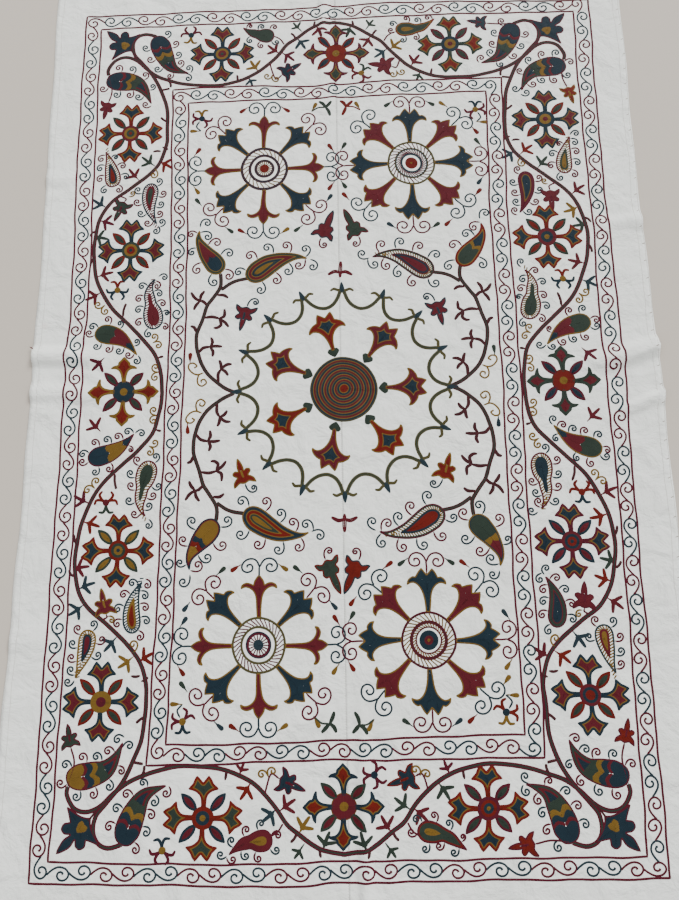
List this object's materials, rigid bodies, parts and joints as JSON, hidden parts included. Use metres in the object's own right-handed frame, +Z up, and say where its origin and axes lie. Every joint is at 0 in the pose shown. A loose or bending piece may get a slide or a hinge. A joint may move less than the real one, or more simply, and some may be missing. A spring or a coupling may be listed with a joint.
{
  "type": "suzani embroidered textile",
  "caption": "Large flat cotton suzani cloth, sewn from loom widths down the middle, with low ripples at its sides and seam, and chain-stitch flowers, vines and paisleys.",
  "frame": {"origin": "centre of the cloth's outline, on the floor that it lies on", "axes": "+Z up out of the embroidered face, +Y along the cloth's length towards the picture's top edge, +X across it towards the picture's right"},
  "size_m": [1.6041, 2.44, 0.0165],
  "materials": {
    "cotton": "plain hand-woven cotton, pale bluish grey-white",
    "thread": "chain-stitched thread with a low sheen, in wine, rust, rose, navy, slate, green, gold, olive and brown"
  },
  "bodies": {
    "root": {"left_panel": "cotton", "right_panel": "cotton"}
  },
  "joints": []
}
